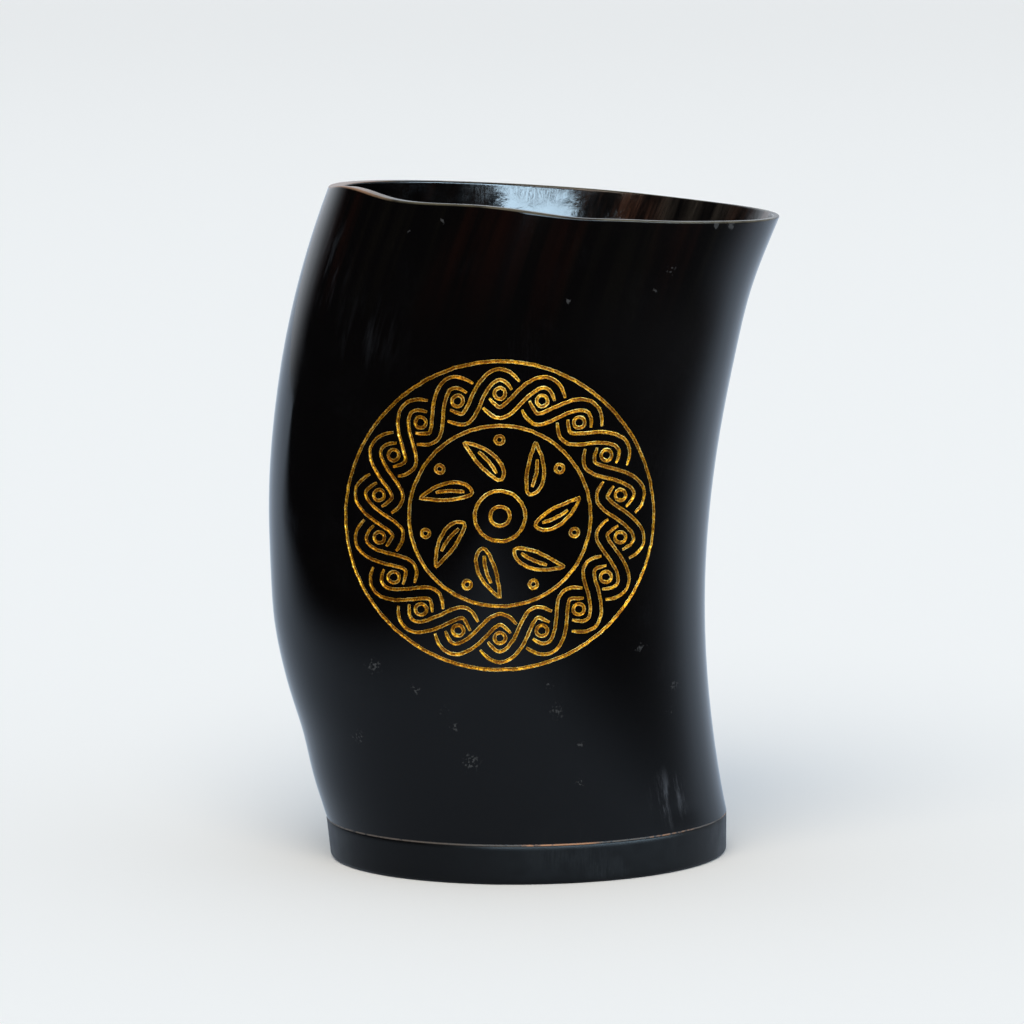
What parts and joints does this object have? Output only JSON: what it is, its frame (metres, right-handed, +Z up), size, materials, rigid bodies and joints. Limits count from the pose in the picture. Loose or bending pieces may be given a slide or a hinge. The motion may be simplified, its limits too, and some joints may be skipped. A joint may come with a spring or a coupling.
{
  "type": "horn drinking cup",
  "caption": "Free-standing drinking cup made from a bent, tapering length of polished black horn, closed at the foot by a plug set in resin.",
  "frame": {"origin": "centre of the flat underside of the foot, on the surface the cup stands on", "axes": "+Z up along the cup, -Y towards the engraved front, +X towards the hollow side of the bend, where the mouth leans"},
  "size_m": [0.0918, 0.0758, 0.1208],
  "materials": {
    "horn": "polished black horn with faint brown streaks",
    "plug": "satin black horn plate with fine scratches",
    "resin": "cured tan resin",
    "gilding": "gold paint in the engraved lines"
  },
  "bodies": {
    "root": {"horn_body": "horn", "foot_plug": "plug", "seam_resin": "resin", "seal_bead": "resin"}
  },
  "joints": []
}
